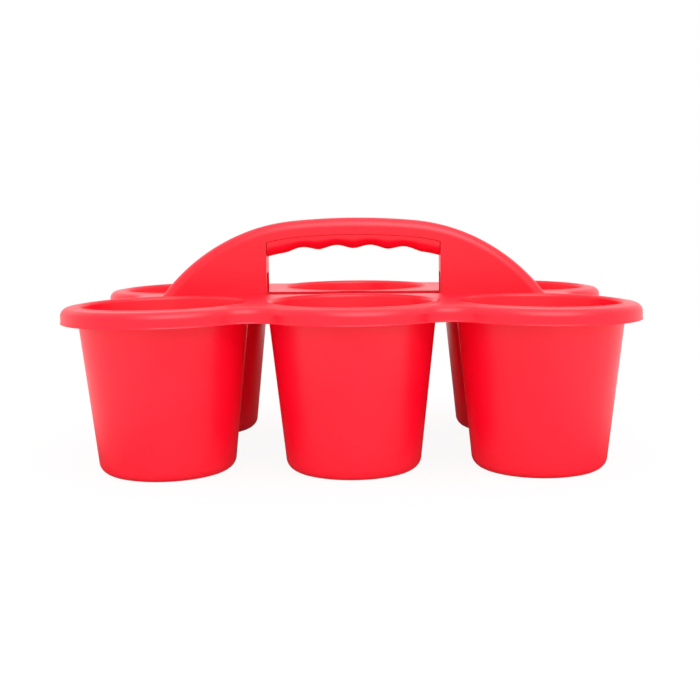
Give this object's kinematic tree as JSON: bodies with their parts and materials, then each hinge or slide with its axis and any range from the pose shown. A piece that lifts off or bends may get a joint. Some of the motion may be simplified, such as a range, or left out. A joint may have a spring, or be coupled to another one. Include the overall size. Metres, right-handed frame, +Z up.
{
  "type": "cup caddy",
  "caption": "Plastic carrying caddy: two rows of tapered open cups under one scalloped deck, with an arched handle and a notched finger grip.",
  "frame": {"origin": "on the table, under the middle of the caddy: the centre of the rectangle that bounds the deck, at the level of the cups' flat feet", "axes": "+X along the handle and the rows of three cups, to the right as seen from the front row; +Y from the front row to the rear row; +Z up"},
  "size_m": [0.33, 0.2372, 0.1433],
  "materials": {
    "red_plastic": "satin moulded polypropylene"
  },
  "bodies": {
    "root": {"deck": "red_plastic", "cup_front_left": "red_plastic", "cup_front_middle": "red_plastic", "cup_front_right": "red_plastic", "cup_rear_left": "red_plastic", "cup_rear_middle": "red_plastic", "cup_rear_right": "red_plastic", "handle_shell": "red_plastic", "finger_grip": "red_plastic"}
  },
  "joints": []
}
